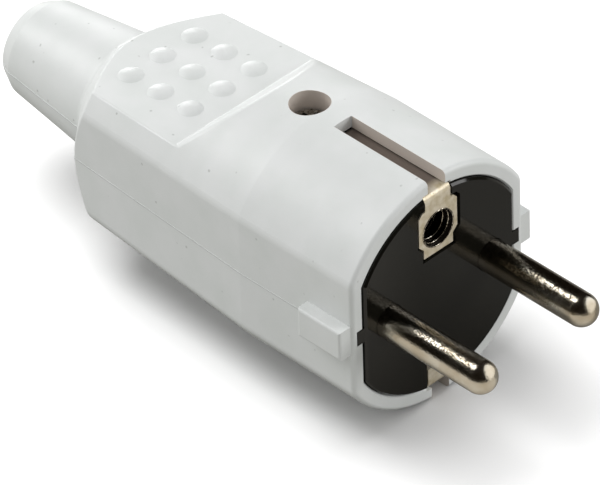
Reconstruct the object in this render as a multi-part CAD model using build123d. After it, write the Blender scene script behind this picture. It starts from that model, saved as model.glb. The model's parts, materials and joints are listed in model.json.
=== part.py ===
from build123d import *
import os
from math import cos, hypot, radians, tan

# Frame: the pins point along -Y, X runs from the neutral pin to the live pin, Z is up.
# The origin is the centre of the engagement face, midway between the pins. All sizes in mm.

# Pins and the earth socket hole, as the mains standard sets them
PIN_RADIUS = 2.4
PIN_SHANK_RADIUS = 2.2
PIN_LENGTH = 19.0
PIN_SPACING = 19.0
EARTH_HOLE_HEIGHT = 10.0
EARTH_BORE_RADIUS = 2.5

# Outer form of the moulded cover, measured from the plane of its rim.
# The rim is set back a little behind the engagement face.
RIM_SETBACK = 0.35
RIM_RADIUS = 18.4
WAIST_RADIUS = 18.45
REAR_RADIUS = 16.45
RIM_HALF_WIDTH = 16.0
WAIST_HALF_WIDTH = 16.05
REAR_HALF_WIDTH = 14.2
WAIST_Y = 21.0
REAR_Y = 52.7
GRIP_FRONT_Y = 35.9
GRIP_FRONT_HEIGHT = 11.73
GRIP_REAR_HEIGHT = 11.15
GRIP_RAMP_ANGLE = 43.0
TAIL_ROOT_Y = 59.0
TAIL_ROOT_RADIUS = 9.21
TAIL_CHAMFER_Y = 75.0
TAIL_CHAMFER_RADIUS = 7.28
TAIL_END_Y = 77.6
TAIL_END_RADIUS = 5.95

# Rounding of the cover's edges
FLAT_EDGE_ROUND = 2.0
GRIP_EDGE_ROUND = 0.45
GRIP_CREST_ROUND = 1.2
RIM_ROUND = 0.7
RIM_LIP_BEVEL = 0.25
TAIL_ROOT_ROUND = 1.5
TAIL_EDGE_ROUND = 0.5
TAIL_END_BEVEL = 0.4

# Grip bumps, in rows on both grip faces
BUMP_RADIUS = 1.85
BUMP_HEIGHT = 0.55
BUMP_ROOT = 0.4
BUMP_COUNT = 3
BUMP_PITCH_X = 5.95
BUMP_PITCH_Y = 5.7
BUMP_MIDDLE_Y = 45.95

# Guide ribs on the two flat sides
RIB_HALF_HEIGHT = 2.35
RIB_DEPTH = 2.0
RIB_START_Y = 0.4
RIB_END_Y = 8.3
RIB_ROUND = 0.4

# Walls and hollow of the cover
WALL = 2.25
FLAT_WALL = 2.0
REAR_WALL = 2.9
GRIP_WALL = 2.6
SEAT_ROOM = 1.45
CHAMBER_END_Y = 50.0
CABLE_BORE_RADIUS = 4.2
CABLE_BORE_START_Y = 62.0
KEY_HALF_HEIGHT = 1.1
KEY_REACH = 1.1
KEY_LENGTH = 4.0

# Earth slots through the cover, top and bottom
SLOT_WIDTH = 3.2
SLOT_LENGTH = 17.3
STRIP_RELIEF = 0.2

# Screw that holds the cover on the carrier
COVER_SCREW_BEHIND_BLOCK = 6.35
COVER_SCREW_HOLE_RADIUS = 2.85
COVER_SCREW_HEAD_DEPTH = 2.8
COVER_SCREW_LENGTH = 8.0
COVER_BOSS_RADIUS = 4.6
COVER_LEDGE = 0.9

# Fasteners
M3_RADIUS = 1.45
M3_HOLE_RADIUS = 1.7
M3_HEAD_RADIUS = 2.6
M3_HEAD_HEIGHT = 2.0
M3_NUT_WIDTH = 5.5
M3_NUT_HEIGHT = 2.4
TERMINAL_SCREW_RADIUS = 1.6
TERMINAL_SCREW_LENGTH = 2.6
TERMINAL_HEAD_RADIUS = 2.3
TERMINAL_HEAD_HEIGHT = 1.8
DRIVE_SLOT_WIDTH = 0.8
DRIVE_SLOT_DEPTH = 0.9
CROSS_REACH = 1.6
CROSS_WIDTH = 0.75
CROSS_DEPTH = 1.1
TERMINAL_SCREW_GRIP = 0.9
HEAD_BEVEL = 0.45

# Carrier that holds the contacts
FIT_GAP = 0.12
CARRIER_LENGTH = 17.4
FRONT_PLATE = 9.0
COLLAR_START_Y = 6.0
COLLAR_LENGTH = 2.9
COLLAR_RADIUS = 3.25
CHAMBER_INNER_X = 4.9
CHAMBER_FLOOR_Z = -4.0
RETAINER_THICKNESS = 2.3
RETAINER_TOP_Z = 3.2
RETAINER_BOTTOM_Z = -12.0
RETAINER_HALF_WIDTH = 12.4
CARRIER_EDGE = 0.3

# Terminal end of each pin
BARREL_RADIUS = 3.2
BARREL_LENGTH = 9.0
WIRE_BORE_RADIUS = 1.5
WIRE_BORE_DEPTH = 6.5
TERMINAL_SCREW_BACK = 3.2

# Earth strip, folded from one strip of metal
STRIP_THICKNESS = 0.8
STRIP_HALF_WIDTH = 2.4
STRIP_FRONT_Y = 0.2
STRIP_PROUD = 0.15
STRIP_BEND = 1.1
EARTH_PLATE_HALF_WIDTH = 3.55
EARTH_PLATE_FOOT_HALF_WIDTH = 2.7
EARTH_PLATE_BOTTOM_Z = 6.2
EARTH_PLATE_FOOT_HEIGHT = 1.5
EARTH_PLATE_SHOULDER_Z = 13.9
EARTH_PLATE_CORNER = 0.7
EARTH_PLATE_POCKET_GAP = 0.4
EARTH_HOLE_RADIUS = 2.75
LOWER_LIP_TOP_Z = -12.8
LOWER_LIP_HALF_WIDTH = 2.7
LOWER_POCKET_ABOVE = 1.6
EARTH_PAD_HALF_WIDTH = 4.0
EARTH_PAD_HALF_HEIGHT = 4.0
EARTH_PAD_Z = -3.0

# Contact sleeve behind the earth hole
SLEEVE_RADIUS = 3.15
SLEEVE_LENGTH = 10.0
SLEEVE_SLOT_WIDTH = 0.6
SLEEVE_SLOT_START = 4.5
SPRING_WIRE_RADIUS = 0.2
SPRING_SIDES = 8
SPRING_OFFSET = 2.2
EARTH_PIN_DEPTH = 15.0

# Lug and tray behind the carrier block
LUG_HALF_WIDTH = 6.5
LUG_THICKNESS = 3.6
LUG_BEHIND_SCREW = 4.6
LUG_ROUND = 2.0
WINDOW_HALF_WIDTH = 2.9
WINDOW_LENGTH = 1.8
TRAY_HALF_WIDTH = 8.5
TRAY_BOTTOM_Z = -8.4
TRAY_THICKNESS = 1.8
TRAY_WALL = 1.5
TRAY_WALL_TOP_Z = -3.6

# Cord clamp at the rear of the tray
CLAMP_Y = 40.0
CLAMP_LENGTH = 6.0
CLAMP_HALF_WIDTH = 11.2
CLAMP_SPLIT_Z = -1.0
CORD_RADIUS = 4.1
CLAMP_EAR_THICKNESS = 2.6
CLAMP_ARCH_RADIUS = 5.5
CLAMP_SCREW_X = 8.0
CLAMP_NUT_SINK = 0.5
CLAMP_CORNER = 1.6
CLAMP_INSET = 0.5

# Earth terminal
EARTH_CLAMP_HALF_SIZE = 3.2
EARTH_CLAMP_THICKNESS = 1.0
WASHER_RADIUS = 2.7
WASHER_THICKNESS = 0.6
EARTH_SCREW_GRIP = 1.6

# Small gaps and working values
SCREW_GAP = 0.05
SEAT_GAP = 0.05
PIN_GAP = 0.06
REACH = 30.0
NEAR = 0.02
OVERCUT = 1.0


def block(x0, x1, y0, y1, z0, z1):
    """Box between two corners."""
    solid = Box(x1 - x0, y1 - y0, z1 - z0, align=(Align.MIN, Align.MIN, Align.MIN))
    return Pos(x0, y0, z0) * solid


def rod_y(radius, y0, y1, x=0.0, z=0.0):
    """Round rod along Y."""
    rod = Cylinder(radius, y1 - y0, align=(Align.CENTER, Align.CENTER, Align.MIN))
    return Pos(x, y0, z) * Rot(-90, 0, 0) * rod


def rod_z(radius, z0, z1, x=0.0, y=0.0):
    """Round rod along Z."""
    rod = Cylinder(radius, z1 - z0, align=(Align.CENTER, Align.CENTER, Align.MIN))
    return Pos(x, y, z0) * rod


def hex_z(width, z0, z1, x=0.0, y=0.0):
    """Hexagonal bar along Z, given its width across the flats that face X."""
    outline = RegularPolygon(width / 2 / cos(radians(30)), 6, rotation=30)
    return Pos(x, y, z0) * extrude(outline, z1 - z0)


def turned(points):
    """Body of revolution about Y, from (radius, y) points."""
    outline = make_face(Polyline(*points, close=True))
    return revolve(outline, Axis.Y)


def plan_prism(points):
    """Symmetric (half width, y) outline, extruded both ways along Z."""
    mirrored = [(-x, y) for x, y in reversed(points)]
    outline = make_face(Polyline(*points, *mirrored, close=True))
    return extrude(outline, REACH, both=True)


def side_prism(points):
    """Symmetric (y, half height) outline, extruded both ways along X."""
    mirrored = [(y, -z) for y, z in reversed(points)]
    outline = Plane.YZ * make_face(Polyline(*points, *mirrored, close=True))
    return extrude(outline, REACH, both=True)


def edges_where(shape, test):
    """Edges whose quarter points all pass a test."""
    return [e for e in shape.edges() if all(test(e.position_at(t)) for t in (0.25, 0.5, 0.75))]


def along(y, y0, value0, y1, value1):
    """Value at y on the line through two stations."""
    return value0 + (value1 - value0) * (y - y0) / (y1 - y0)


def body_radius(y):
    """Radius of the round part of the cover behind its waist."""
    return along(y, WAIST_Y, WAIST_RADIUS, REAR_Y, REAR_RADIUS)


def half_width(y):
    """Distance of the flat sides from the axis behind the waist."""
    return along(y, WAIST_Y, WAIST_HALF_WIDTH, REAR_Y, REAR_HALF_WIDTH)


def grip_height(y):
    """Height of the grip faces above the axis."""
    return along(y, GRIP_FRONT_Y, GRIP_FRONT_HEIGHT, REAR_Y, GRIP_REAR_HEIGHT)


def ramp_y(z):
    """Y where the ramp in front of a grip face reaches a height."""
    return GRIP_FRONT_Y - (z - GRIP_FRONT_HEIGHT) / tan(radians(GRIP_RAMP_ANGLE))


def cover_form():
    """Outer form: a turned body with flat sides and lowered grip faces."""
    form = turned([
        (0, 0), (RIM_RADIUS, 0), (WAIST_RADIUS, WAIST_Y), (REAR_RADIUS, REAR_Y),
        (TAIL_ROOT_RADIUS, TAIL_ROOT_Y), (TAIL_CHAMFER_RADIUS, TAIL_CHAMFER_Y),
        (TAIL_END_RADIUS, TAIL_END_Y), (0, TAIL_END_Y)])
    form &= plan_prism([
        (RIM_HALF_WIDTH, 0), (WAIST_HALF_WIDTH, WAIST_Y),
        (REAR_HALF_WIDTH, REAR_Y), (half_width(TAIL_END_Y), TAIL_END_Y)])
    form &= side_prism([
        (0, REACH), (ramp_y(REACH), REACH), (GRIP_FRONT_Y, GRIP_FRONT_HEIGHT),
        (TAIL_END_Y, grip_height(TAIL_END_Y))])
    return form


def flat_at(y):
    """Distance of the flat sides from the axis anywhere along the body."""
    if y < WAIST_Y:
        return along(y, 0, RIM_HALF_WIDTH, WAIST_Y, WAIST_HALF_WIDTH)
    return half_width(y)


def rounded_cover_form():
    """Outer form with its edges rounded as the mould rounds them."""
    form = cover_form()

    def on_flat_edge(p):
        on_flat = abs(abs(p.X) - flat_at(p.Y)) < NEAR
        return on_flat and abs(p.Z) > RIB_HALF_HEIGHT and OVERCUT < p.Y < REAR_Y - OVERCUT

    def on_crest(p):
        return abs(p.Y - ramp_y(abs(p.Z))) < NEAR and abs(p.Z) > GRIP_FRONT_HEIGHT + NEAR

    def on_grip_side(p):
        on_grip = abs(abs(p.Z) - grip_height(p.Y)) < NEAR
        return on_grip and GRIP_FRONT_Y - OVERCUT < p.Y < REAR_Y and abs(p.X) > BUMP_PITCH_X

    def on_rear_rim(p):
        on_seam = abs(p.Z) < NEAR and abs(p.X) < half_width(REAR_Y)
        return REAR_Y - 0.3 < p.Y < TAIL_ROOT_Y - 0.5 and not on_seam

    form = fillet(edges_where(form, on_flat_edge), FLAT_EDGE_ROUND)
    form = fillet(edges_where(form, on_crest), GRIP_CREST_ROUND)
    form = fillet(edges_where(form, on_grip_side), GRIP_EDGE_ROUND)
    form = fillet(edges_where(form, on_rear_rim), GRIP_EDGE_ROUND)
    form = fillet(edges_where(form, lambda p: abs(p.Y - TAIL_ROOT_Y) < NEAR), TAIL_ROOT_ROUND)
    form = fillet(edges_where(form, lambda p: abs(p.Y - TAIL_CHAMFER_Y) < NEAR), TAIL_EDGE_ROUND)
    form = chamfer(edges_where(form, lambda p: abs(p.Y - TAIL_END_Y) < NEAR), TAIL_END_BEVEL)
    return fillet(edges_where(form, lambda p: abs(p.Y) < NEAR), RIM_ROUND)


def seat_depth():
    """Depth of the seat behind the rim, with room behind the carrier block."""
    return CARRIER_LENGTH - RIM_SETBACK + SEAT_ROOM


def seat_section(gap, length):
    """Round bore with two flats that the carrier block slides into."""
    radius = RIM_RADIUS - WALL - gap
    width = RIM_HALF_WIDTH - FLAT_WALL - gap
    return rod_y(radius, 0, length) & block(-width, width, 0, length, -REACH, REACH)


def chamber():
    """Hollow behind the seat: tapers like the outside, over a level floor under the tray."""
    front_radius = WAIST_RADIUS - REAR_WALL
    rear_radius = REAR_RADIUS - REAR_WALL
    front = seat_depth()
    hollow = turned([
        (0, front), (front_radius, front), (rear_radius, CHAMBER_END_Y),
        (CABLE_BORE_RADIUS, CABLE_BORE_START_Y), (0, CABLE_BORE_START_Y)])
    hollow &= plan_prism([
        (WAIST_HALF_WIDTH - REAR_WALL, front), (REAR_HALF_WIDTH - REAR_WALL, CHAMBER_END_Y),
        (REAR_HALF_WIDTH - REAR_WALL, CABLE_BORE_START_Y)])
    hollow &= side_prism([
        (front, REACH), (ramp_y(REACH) - GRIP_WALL, REACH),
        (GRIP_FRONT_Y - GRIP_WALL, GRIP_FRONT_HEIGHT - GRIP_WALL),
        (CABLE_BORE_START_Y, grip_height(CABLE_BORE_START_Y) - GRIP_WALL)])
    floor_z = GRIP_WALL - GRIP_FRONT_HEIGHT
    return hollow & block(-REACH, REACH, front, CABLE_BORE_START_Y, floor_z, REACH)


def key_form(gap=0.0):
    """Two side keys that stop the carrier from turning in the cover."""
    reach = RIM_HALF_WIDTH - FLAT_WALL + KEY_REACH + gap
    half = KEY_HALF_HEIGHT + gap
    return block(-reach, reach, 0, KEY_LENGTH + gap, -half, half)


def bump():
    """One low grip dome on a root that sinks into its face."""
    ball = (BUMP_RADIUS ** 2 + BUMP_HEIGHT ** 2) / (2 * BUMP_HEIGHT)
    dome = Pos(0, 0, BUMP_HEIGHT - ball) * Sphere(ball)
    return dome & rod_z(BUMP_RADIUS * 2, -BUMP_ROOT, BUMP_HEIGHT + OVERCUT)


def grip_bumps():
    """Rows of domes that stand on the upper grip face."""
    slope = (GRIP_REAR_HEIGHT - GRIP_FRONT_HEIGHT) / (REAR_Y - GRIP_FRONT_Y)
    middle = (BUMP_COUNT - 1) / 2
    bumps = []
    for row in range(BUMP_COUNT):
        y = BUMP_MIDDLE_Y + (row - middle) * BUMP_PITCH_Y
        plane = Plane((0, y, grip_height(y)), x_dir=(1, 0, 0), z_dir=(0, -slope, 1))
        for column in range(BUMP_COUNT):
            bumps.append(plane * Pos((column - middle) * BUMP_PITCH_X, 0, 0) * bump())
    return bumps


def rib():
    """Guide rib on the +X flat, flush with the wall at its root."""
    inner = RIM_HALF_WIDTH - FLAT_WALL / 2
    outer = RIM_HALF_WIDTH + RIB_DEPTH
    solid = block(inner, outer, RIB_START_Y, RIB_END_Y, -RIB_HALF_HEIGHT, RIB_HALF_HEIGHT)
    outside = edges_where(solid, lambda p: p.X > (inner + outer) / 2)
    return fillet(outside, RIB_ROUND)


def cover():
    """One-piece moulded cover with its tail sleeve."""
    shell = rounded_cover_form()
    for side in (rib(), mirror(rib(), Plane.YZ)):
        shell += side
    for dome in grip_bumps():
        shell += [dome, mirror(dome, Plane.XY)]
    shell -= seat_section(0, seat_depth())
    shell -= chamber()
    shell -= rod_y(CABLE_BORE_RADIUS, CABLE_BORE_START_Y - OVERCUT, TAIL_END_Y + OVERCUT)
    shell -= key_form(FIT_GAP)
    half_slot = SLOT_WIDTH / 2
    relief = STRIP_HALF_WIDTH + STRIP_RELIEF
    relief_top = strip_height() + STRIP_RELIEF
    shell -= block(-half_slot, half_slot, -OVERCUT, SLOT_LENGTH, -REACH, REACH)
    shell -= block(-relief, relief, -OVERCUT, seat_depth(), -relief_top, relief_top)
    screw_y = cover_screw_y() - RIM_SETBACK
    shell += rod_z(COVER_BOSS_RADIUS, screw_ledge_z(), body_radius(screw_y) - OVERCUT, y=screw_y)
    shell -= rod_z(COVER_SCREW_HOLE_RADIUS, screw_seat_z(), REACH, y=screw_y)
    shell -= rod_z(M3_HOLE_RADIUS, screw_ledge_z() - OVERCUT, REACH, y=screw_y)

    def on_inner_lip(p):
        on_arc = abs(hypot(p.X, p.Z) - RIM_RADIUS + WALL) < NEAR
        on_flat = abs(abs(p.X) - RIM_HALF_WIDTH + FLAT_WALL) < NEAR
        return abs(p.Y) < NEAR and (on_arc or on_flat)

    shell = chamfer(edges_where(shell, on_inner_lip), RIM_LIP_BEVEL)
    return Pos(0, RIM_SETBACK, 0) * shell


def cover_screw_y():
    """Distance of the cover screw behind the engagement face."""
    return CARRIER_LENGTH + COVER_SCREW_BEHIND_BLOCK


def screw_seat_z():
    """Height of the ledge under the cover screw's head."""
    top = body_radius(cover_screw_y() - RIM_SETBACK)
    return top - COVER_SCREW_HEAD_DEPTH - M3_HEAD_HEIGHT


def screw_ledge_z():
    """Height of the underside of that ledge, where it meets the carrier's lug."""
    return screw_seat_z() - COVER_LEDGE


def lug_bottom_z():
    """Height of the underside of the carrier's lug, where its nut sits."""
    return screw_ledge_z() - LUG_THICKNESS


def pin(side):
    """Turned brass pin with a collar and a drilled terminal barrel."""
    x = side * PIN_SPACING / 2
    collar_end = COLLAR_START_Y + COLLAR_LENGTH
    barrel_start = FRONT_PLATE + RETAINER_THICKNESS + 2 * FIT_GAP
    barrel_end = barrel_start + BARREL_LENGTH
    shank = turned([
        (0, PIN_RADIUS - PIN_LENGTH), (PIN_RADIUS, PIN_RADIUS - PIN_LENGTH),
        (PIN_RADIUS, 0), (PIN_SHANK_RADIUS, 0), (PIN_SHANK_RADIUS, COLLAR_START_Y),
        (COLLAR_RADIUS, COLLAR_START_Y), (COLLAR_RADIUS, collar_end),
        (PIN_SHANK_RADIUS, collar_end), (PIN_SHANK_RADIUS, barrel_start),
        (BARREL_RADIUS, barrel_start), (BARREL_RADIUS, barrel_end), (0, barrel_end)])
    solid = shank + Pos(0, PIN_RADIUS - PIN_LENGTH, 0) * Sphere(PIN_RADIUS)
    solid = chamfer(edges_where(solid, lambda p: abs(p.Y - barrel_end) < NEAR), CARRIER_EDGE)
    solid -= rod_y(WIRE_BORE_RADIUS, barrel_end - WIRE_BORE_DEPTH, barrel_end + OVERCUT)
    screw_y = barrel_end - TERMINAL_SCREW_BACK
    solid -= rod_z(TERMINAL_SCREW_RADIUS + SCREW_GAP, 0, BARREL_RADIUS + OVERCUT, y=screw_y)
    return Pos(x, 0, 0) * solid


def terminal_screw(side):
    """Slotted screw that holds a wire in the barrel of a pin."""
    y = FRONT_PLATE + RETAINER_THICKNESS + 2 * FIT_GAP + BARREL_LENGTH - TERMINAL_SCREW_BACK
    tip = BARREL_RADIUS + TERMINAL_SCREW_GRIP - TERMINAL_SCREW_LENGTH
    top = BARREL_RADIUS + TERMINAL_SCREW_GRIP
    screw = slotted_screw(TERMINAL_SCREW_RADIUS, TERMINAL_HEAD_RADIUS, TERMINAL_HEAD_HEIGHT, tip, top)
    return Pos(side * PIN_SPACING / 2, y, 0) * screw


def slotted_screw(radius, head_radius, head_height, tip, seat):
    """Screw along Z from its tip to the seat of its head, with a straight slot."""
    head = rod_z(head_radius, seat, seat + head_height)
    top = seat + head_height
    head = chamfer(edges_where(head, lambda p: abs(p.Z - top) < NEAR), HEAD_BEVEL)
    slot = DRIVE_SLOT_WIDTH / 2
    head -= block(-head_radius, head_radius, -slot, slot, top - DRIVE_SLOT_DEPTH, top + OVERCUT)
    return head + rod_z(radius, tip, seat)


def cross_screw(length, seat):
    """Round-headed screw along Z with a cross recess."""
    head = rod_z(M3_HEAD_RADIUS, seat, seat + M3_HEAD_HEIGHT)
    top = seat + M3_HEAD_HEIGHT
    head = chamfer(edges_where(head, lambda p: abs(p.Z - top) < NEAR), HEAD_BEVEL)
    half = CROSS_WIDTH / 2
    arm = block(-CROSS_REACH, CROSS_REACH, -half, half, top - CROSS_DEPTH, top + OVERCUT)
    head -= arm
    head -= Rot(0, 0, 90) * arm
    return head + rod_z(M3_RADIUS, seat - length, seat)


def nut(z0):
    """Hexagonal nut along Z with a plain bore."""
    bore = rod_z(M3_RADIUS + SCREW_GAP, z0 - OVERCUT, z0 + M3_NUT_HEIGHT + OVERCUT)
    return hex_z(M3_NUT_WIDTH, z0, z0 + M3_NUT_HEIGHT) - bore


def nut_pocket(z0, z1, x=0.0, y=0.0):
    """Hexagonal pocket that a nut drops into."""
    return hex_z(M3_NUT_WIDTH + 2 * FIT_GAP, z0, z1, x, y)


def cover_screw():
    """Screw seen down the hole in the cover."""
    return Pos(0, cover_screw_y(), 0) * cross_screw(COVER_SCREW_LENGTH, screw_seat_z())


def cover_screw_nut():
    """Captive nut in the carrier's lug."""
    return Pos(0, cover_screw_y(), 0) * nut(lug_bottom_z())


def carrier_block():
    """Block behind the engagement face, with the chambers of both terminals."""
    solid = seat_section(FIT_GAP, CARRIER_LENGTH)
    solid = chamfer(edges_where(solid, lambda p: abs(p.Y) < NEAR), CARRIER_EDGE)
    solid += key_form() & rod_y(REACH, CARRIER_EDGE, KEY_LENGTH)
    for side in (-1, 1):
        x = side * PIN_SPACING / 2
        solid -= rod_y(PIN_RADIUS + PIN_GAP, -OVERCUT, FRONT_PLATE + OVERCUT, x)
        solid -= rod_y(COLLAR_RADIUS + FIT_GAP, COLLAR_START_Y, FRONT_PLATE + OVERCUT, x)
        inner, outer = sorted((side * CHAMBER_INNER_X, side * REACH))
        solid -= block(inner, outer, FRONT_PLATE, CARRIER_LENGTH + OVERCUT, CHAMBER_FLOOR_Z, REACH)
    solid -= block(-REACH, REACH, FRONT_PLATE, FRONT_PLATE + RETAINER_THICKNESS + 2 * FIT_GAP,
                   -REACH, RETAINER_TOP_Z + FIT_GAP)
    return solid


def strip_height():
    """Height of the strip's legs above the axis: they lie a little proud of the block."""
    return RIM_RADIUS - WALL + STRIP_PROUD


def earth_recess():
    """Space in the block for the earth strip and its contact sleeve."""
    gap = FIT_GAP
    back = STRIP_FRONT_Y + STRIP_THICKNESS + gap
    leg = STRIP_HALF_WIDTH + gap
    leg_inner = strip_height() - STRIP_THICKNESS - gap
    lip = LOWER_LIP_HALF_WIDTH + gap
    space = plate_prism(EARTH_PLATE_POCKET_GAP, -OVERCUT, back)
    space += block(-leg, leg, -OVERCUT, back, EARTH_HOLE_HEIGHT, REACH)
    space += block(-leg, leg, -OVERCUT, CARRIER_LENGTH + OVERCUT, leg_inner, REACH)
    space += block(-lip, lip, -OVERCUT, back, -REACH, LOWER_LIP_TOP_Z + LOWER_POCKET_ABOVE)
    space += block(-leg, leg, -OVERCUT, CARRIER_LENGTH + OVERCUT, -REACH, -leg_inner)
    space += rod_y(SLEEVE_RADIUS + gap, -OVERCUT, back + EARTH_PIN_DEPTH, z=EARTH_HOLE_HEIGHT)
    return space


def carrier_lug():
    """Lug that takes the cover screw, with a window for the earth strip."""
    end = cover_screw_y() + LUG_BEHIND_SCREW
    start = CARRIER_LENGTH - OVERCUT
    solid = block(-LUG_HALF_WIDTH, LUG_HALF_WIDTH, start, end, lug_bottom_z(), screw_ledge_z())
    corners = edges_where(solid, lambda p: p.Y > end - NEAR and abs(p.X) > LUG_HALF_WIDTH - NEAR)
    solid = fillet(corners, LUG_ROUND)
    window_end = CARRIER_LENGTH + WINDOW_LENGTH
    solid -= block(-WINDOW_HALF_WIDTH, WINDOW_HALF_WIDTH, CARRIER_LENGTH, window_end, -REACH, REACH)
    solid -= nut_pocket(lug_bottom_z() - OVERCUT, lug_bottom_z() + M3_NUT_HEIGHT, y=cover_screw_y())
    solid -= rod_z(M3_HOLE_RADIUS, lug_bottom_z(), REACH, y=cover_screw_y())
    return solid


def carrier_tray():
    """Tray behind the block that carries the wires and the cord clamp."""
    floor_top = TRAY_BOTTOM_Z + TRAY_THICKNESS
    start = CARRIER_LENGTH - OVERCUT
    end = CLAMP_Y + CLAMP_LENGTH
    solid = block(-TRAY_HALF_WIDTH, TRAY_HALF_WIDTH, start, end, TRAY_BOTTOM_Z, floor_top)
    for side in (-1, 1):
        inner, outer = sorted((side * (TRAY_HALF_WIDTH - TRAY_WALL), side * TRAY_HALF_WIDTH))
        solid += block(inner, outer, start, end, TRAY_BOTTOM_Z, TRAY_WALL_TOP_Z)
    saddle = block(-CLAMP_HALF_WIDTH, CLAMP_HALF_WIDTH, CLAMP_Y, end, TRAY_BOTTOM_Z, CLAMP_SPLIT_Z)

    def on_low_corner(p):
        return abs(p.X) > CLAMP_HALF_WIDTH - NEAR and p.Z < TRAY_BOTTOM_Z + NEAR

    solid += chamfer(edges_where(saddle, on_low_corner), CLAMP_CORNER)
    solid -= rod_y(CORD_RADIUS, CLAMP_Y - OVERCUT, end + OVERCUT)
    for side in (-1, 1):
        solid -= clamp_screw_space(side * CLAMP_SCREW_X)
    pad = EARTH_PAD_HALF_WIDTH + FIT_GAP
    solid -= block(-pad, pad, CARRIER_LENGTH, CARRIER_LENGTH + WINDOW_LENGTH, -REACH, floor_top + OVERCUT)
    return solid


def clamp_screw_space(x):
    """Hole for a clamp screw, and the pocket of its nut."""
    y = CLAMP_Y + CLAMP_LENGTH / 2
    space = rod_z(M3_HOLE_RADIUS, -REACH, REACH, x, y)
    nut_top = TRAY_BOTTOM_Z + CLAMP_NUT_SINK + M3_NUT_HEIGHT
    return space + nut_pocket(TRAY_BOTTOM_Z - OVERCUT, nut_top, x, y)


def pin_carrier():
    """Black moulding: block, lug and tray in one piece."""
    solid = carrier_block() + carrier_lug() + carrier_tray()
    solid -= earth_recess()
    bore = TERMINAL_SCREW_RADIUS + SCREW_GAP
    solid -= rod_y(bore, earth_screw_tip() - OVERCUT, CARRIER_LENGTH + OVERCUT, z=EARTH_PAD_Z)
    return solid


def pin_retainer():
    """Fork that drops between the collars and the barrels of both pins."""
    y0 = FRONT_PLATE + FIT_GAP
    y1 = y0 + RETAINER_THICKNESS
    solid = block(-RETAINER_HALF_WIDTH, RETAINER_HALF_WIDTH, y0, y1, RETAINER_BOTTOM_Z, RETAINER_TOP_Z)
    solid &= rod_y(RIM_RADIUS - WALL - 2 * FIT_GAP, y0, y1)
    neck = PIN_SHANK_RADIUS + FIT_GAP
    for side in (-1, 1):
        x = side * PIN_SPACING / 2
        solid -= rod_y(neck, y0 - OVERCUT, y1 + OVERCUT, x)
        solid -= block(x - neck, x + neck, y0 - OVERCUT, y1 + OVERCUT, 0, REACH)
    return solid


def earth_strip():
    """Earth contact folded round the block, with its plate at the front."""
    y1 = CARRIER_LENGTH + FIT_GAP + STRIP_THICKNESS
    inner = STRIP_THICKNESS
    middle = (STRIP_FRONT_Y + y1) / 2
    length = y1 - STRIP_FRONT_Y
    loop = Pos(middle, 0) * RectangleRounded(length, 2 * strip_height(), STRIP_BEND)
    hollow_height = 2 * (strip_height() - inner)
    loop -= Pos(middle, 0) * RectangleRounded(length - 2 * inner, hollow_height, STRIP_BEND - inner)
    gap_height = EARTH_PLATE_BOTTOM_Z - LOWER_LIP_TOP_Z
    gap_middle = (EARTH_PLATE_BOTTOM_Z + LOWER_LIP_TOP_Z) / 2
    loop -= Pos(STRIP_FRONT_Y, gap_middle) * Rectangle(STRIP_BEND * 4, gap_height)
    solid = extrude(Plane.YZ * loop, STRIP_HALF_WIDTH, both=True)
    solid += plate_prism(0, STRIP_FRONT_Y, STRIP_FRONT_Y + STRIP_THICKNESS)
    y0 = y1 - STRIP_THICKNESS
    pad_z = EARTH_PAD_Z
    solid += block(-EARTH_PAD_HALF_WIDTH, EARTH_PAD_HALF_WIDTH, y0, y1,
                   pad_z - EARTH_PAD_HALF_HEIGHT, pad_z + EARTH_PAD_HALF_HEIGHT)
    hole_end = STRIP_FRONT_Y + STRIP_THICKNESS + OVERCUT
    solid -= rod_y(EARTH_HOLE_RADIUS, -OVERCUT, hole_end, z=EARTH_HOLE_HEIGHT)
    solid -= rod_y(TERMINAL_SCREW_RADIUS + SCREW_GAP, y0 - OVERCUT, y1 + OVERCUT, z=pad_z)
    return solid


def plate_prism(margin, y0, y1):
    """Outline of the strip's front plate, grown by a margin and extruded along Y."""
    foot = EARTH_PLATE_FOOT_HALF_WIDTH + margin
    half = EARTH_PLATE_HALF_WIDTH + margin
    clip = EARTH_PLATE_CORNER
    low = EARTH_PLATE_BOTTOM_Z - margin
    high = EARTH_PLATE_SHOULDER_Z + margin
    knee = EARTH_PLATE_BOTTOM_Z + EARTH_PLATE_FOOT_HEIGHT
    shoulder = EARTH_PLATE_HALF_WIDTH - EARTH_PLATE_FOOT_HALF_WIDTH
    right = [(foot, low), (foot, knee), (half, knee + shoulder), (half, high - clip), (half - clip, high)]
    left = [(-x, z) for x, z in reversed(right)]
    outline = make_face(Polyline(*right, *left, close=True))
    return Pos(0, y0, 0) * extrude(Plane.XZ * outline, y0 - y1)


def earth_socket_sleeve():
    """Slotted sleeve that grips an earth pin behind the hole."""
    y0 = STRIP_FRONT_Y + STRIP_THICKNESS + SEAT_GAP
    y1 = y0 + SLEEVE_LENGTH
    groove = y0 + SPRING_OFFSET
    sleeve = rod_y(SLEEVE_RADIUS, y0, y1) - rod_y(EARTH_BORE_RADIUS, y0 - OVERCUT, y1 + OVERCUT)
    wire = SPRING_WIRE_RADIUS + SEAT_GAP
    sleeve -= rod_y(EARTH_BORE_RADIUS + 2 * wire, groove - wire, groove + wire)
    slot = SLEEVE_SLOT_WIDTH / 2
    sleeve -= block(-slot, slot, y0 + SLEEVE_SLOT_START, y1 + OVERCUT, -REACH, REACH)
    sleeve -= block(-REACH, REACH, y0 + SLEEVE_SLOT_START, y1 + OVERCUT, -slot, slot)
    return Pos(0, 0, EARTH_HOLE_HEIGHT) * sleeve


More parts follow.
